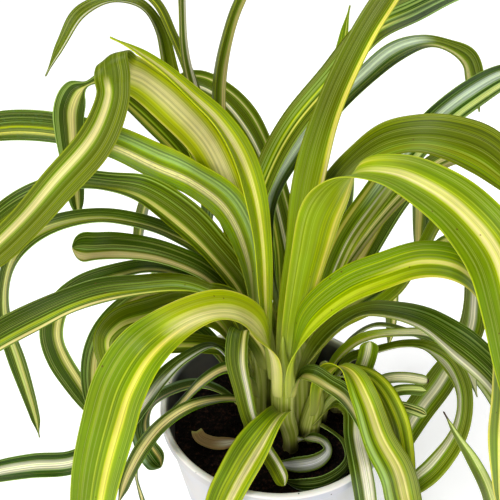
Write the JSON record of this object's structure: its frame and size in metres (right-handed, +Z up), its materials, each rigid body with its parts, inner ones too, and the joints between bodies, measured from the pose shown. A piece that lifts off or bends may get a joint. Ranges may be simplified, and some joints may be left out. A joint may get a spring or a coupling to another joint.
{
  "type": "potted spider plant",
  "caption": "Spider plant with long arching striped leaves, rising from clumps of stems in soil, in a plain tapered round pot.",
  "frame": {"origin": "centre of the pot's flat underside, on the surface it stands on", "axes": "+Z up through the pot's axis, -Y towards the plant's front, +X to the right as seen from the front"},
  "size_m": [0.3291, 0.2618, 0.3439],
  "materials": {
    "pot": "satin",
    "soil": "matte",
    "stem": "satin",
    "leaf_green": "satin",
    "leaf_dark": "satin",
    "leaf_pale": "satin"
  },
  "bodies": {
    "root": {"pot": "pot", "soil": "soil", "crown_clump": "stem", "leaf_front_left": "leaf_green", "leaf_front_right": "leaf_green", "leaf_front_big_right": "leaf_green", "leaf_upright_right": "leaf_green", "leaf_inner_left": "leaf_green", "leaf_front_short": "leaf_green", "leaf_arch_top_left": "leaf_green", "leaf_upright_left_narrow": "leaf_green", "leaf_upright_left_back": "leaf_dark", "leaf_upright_centre_narrow": "leaf_dark", "leaf_left_fold": "leaf_pale", "leaf_left_back_dark": "leaf_dark", "leaf_arch_back_centre": "leaf_dark", "leaf_left_upper": "leaf_green", "leaf_left_mid": "leaf_dark", "leaf_right_up_broad": "leaf_green", "leaf_right_arch_back": "leaf_green", "leaf_right_far_up": "leaf_green", "leaf_right_arch_broad": "leaf_green", "leaf_right_low_dark": "leaf_dark", "leaf_right_back_dark": "leaf_dark", "leaf_right_back_hang": "leaf_dark", "leaf_right_back_low": "leaf_dark", "leaf_tip_behind_right": "leaf_green", "leaf_left_arch_low": "leaf_dark", "leaf_left_cut_end": "leaf_dark", "leaf_left_low_broad": "leaf_dark", "leaf_left_low_curl": "leaf_dark", "leaf_left_low_inner": "leaf_dark", "leaf_left_white_low": "leaf_pale", "leaf_left_flat_inner": "leaf_green", "leaf_left_under_dark": "leaf_dark", "leaf_left_under_back": "leaf_dark", "leaf_left_cream_a": "leaf_pale", "leaf_left_cream_b": "leaf_pale", "leaf_left_folded_blunt": "leaf_dark", "leaf_front_dark_over_rim": "leaf_dark", "leaf_right_arch_front": "leaf_dark", "leaf_front_right_hang": "leaf_green", "leaf_right_second_hang": "leaf_green", "leaf_front_right_white": "leaf_pale", "leaf_right_loop": "leaf_green", "leaf_right_upper_loop": "leaf_pale", "leaf_right_cut_stub": "leaf_dark", "leaf_right_small_curl": "leaf_pale", "leaf_right_small_pale": "leaf_pale", "leaf_right_small_striped": "leaf_green", "leaf_soil_curl_white": "leaf_pale", "leaf_soil_curl_dark": "leaf_dark", "leaf_soil_scrap": "leaf_pale", "leaf_right_tip_low": "leaf_green", "leaf_back_left_high": "leaf_dark", "leaf_back_centre_left": "leaf_green", "leaf_back_centre_right": "leaf_dark", "leaf_back_right_high": "leaf_dark", "leaf_back_low_left": "leaf_dark", "leaf_back_low_right": "leaf_green"}
  },
  "joints": []
}
